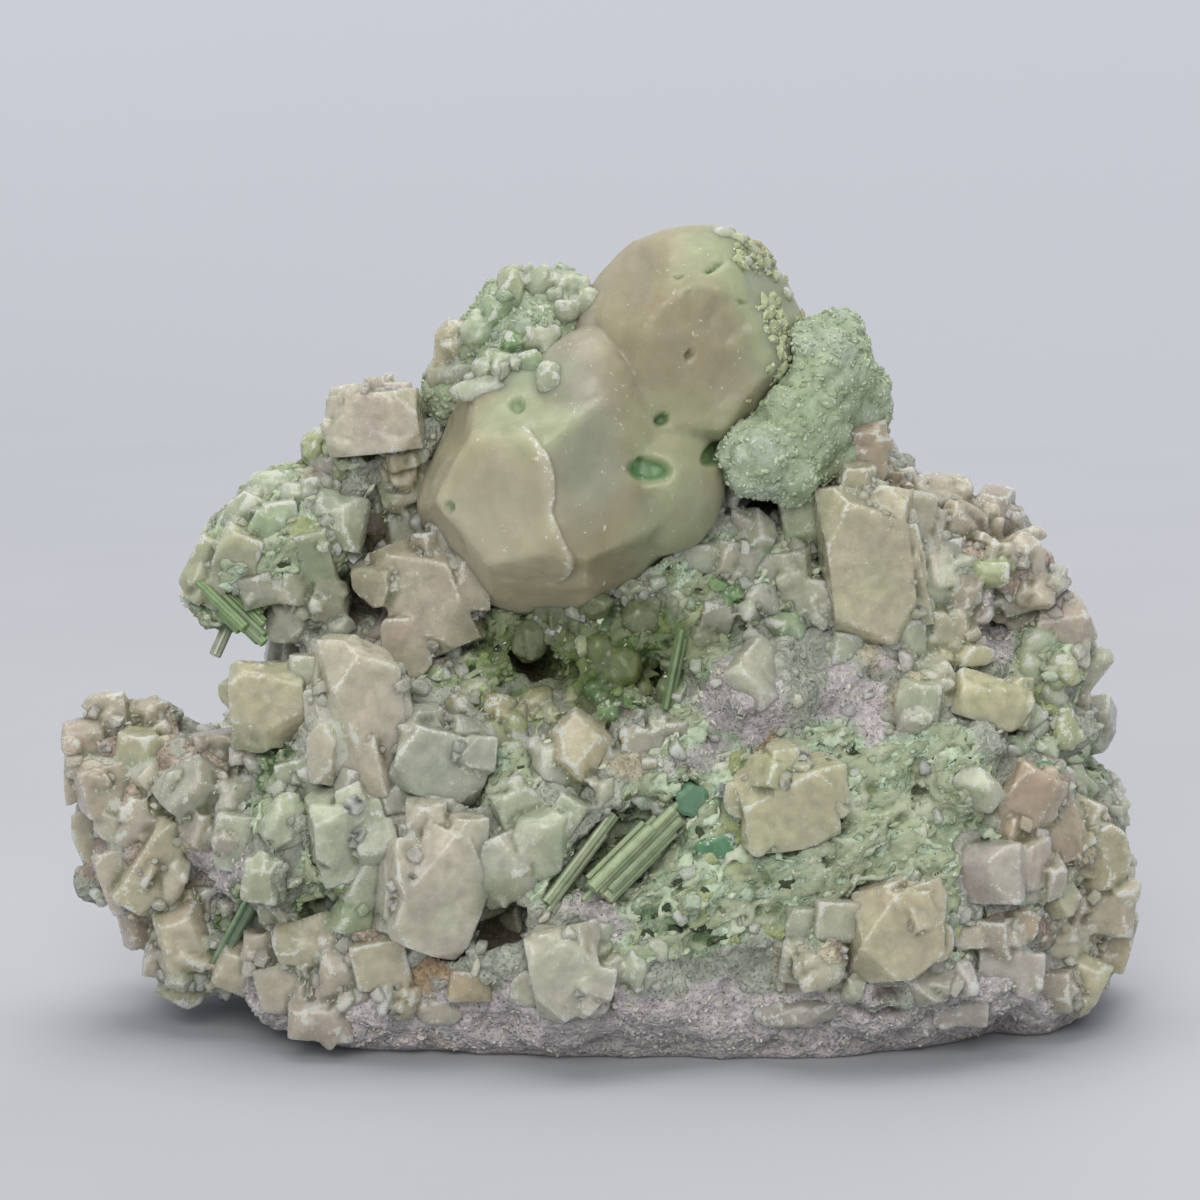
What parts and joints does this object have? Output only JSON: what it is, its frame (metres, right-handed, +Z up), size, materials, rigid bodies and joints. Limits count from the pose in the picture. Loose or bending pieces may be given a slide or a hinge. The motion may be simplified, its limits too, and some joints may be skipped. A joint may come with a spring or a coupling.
{
  "type": "pollucite mineral specimen",
  "caption": "Craggy mineral specimen: cream pollucite crystals on a matrix with pale green mica crust, green tourmaline and quartz.",
  "frame": {"origin": "middle of the bounding box, on the rest face", "axes": "+Z up; +X to the right of the show side, along the stone's longest extent; the show side, with the pollucite, looks along -Y"},
  "size_m": [0.1282, 0.0672, 0.0951],
  "materials": {
    "matrix": "rough, sparkling lilac and grey mica with small crystals",
    "pollucite": "waxy, translucent cream",
    "green_mica": "fine-grained mint green crust",
    "quartz": "glassy, translucent grey to beige",
    "albite": "satin, translucent pale yellow",
    "tourmaline": "glassy green, striated along its length"
  },
  "bodies": {
    "root": {"matrix": "matrix", "pollucite_crystals": "pollucite", "green_mica_knob": "green_mica", "green_mica_druse": "green_mica", "quartz_block_left": "quartz", "quartz_column_left": "quartz", "quartz_point_grey": "quartz", "quartz_square_left": "quartz", "quartz_slab_left": "quartz", "quartz_tablet_front": "quartz", "quartz_block_centre": "quartz", "quartz_block_right": "quartz", "quartz_column_right": "quartz", "quartz_column_under": "quartz", "quartz_block_top_left": "quartz", "albite_block_yellow": "albite", "albite_plate_yellow": "albite", "tourmaline_front_left": "tourmaline", "tourmaline_front_right": "tourmaline", "tourmaline_teal_stub": "tourmaline", "tourmaline_lower_left": "tourmaline", "tourmaline_under_pollucite": "tourmaline", "tourmaline_arm_spray": "tourmaline", "tourmaline_arm_tip": "tourmaline"}
  },
  "joints": []
}
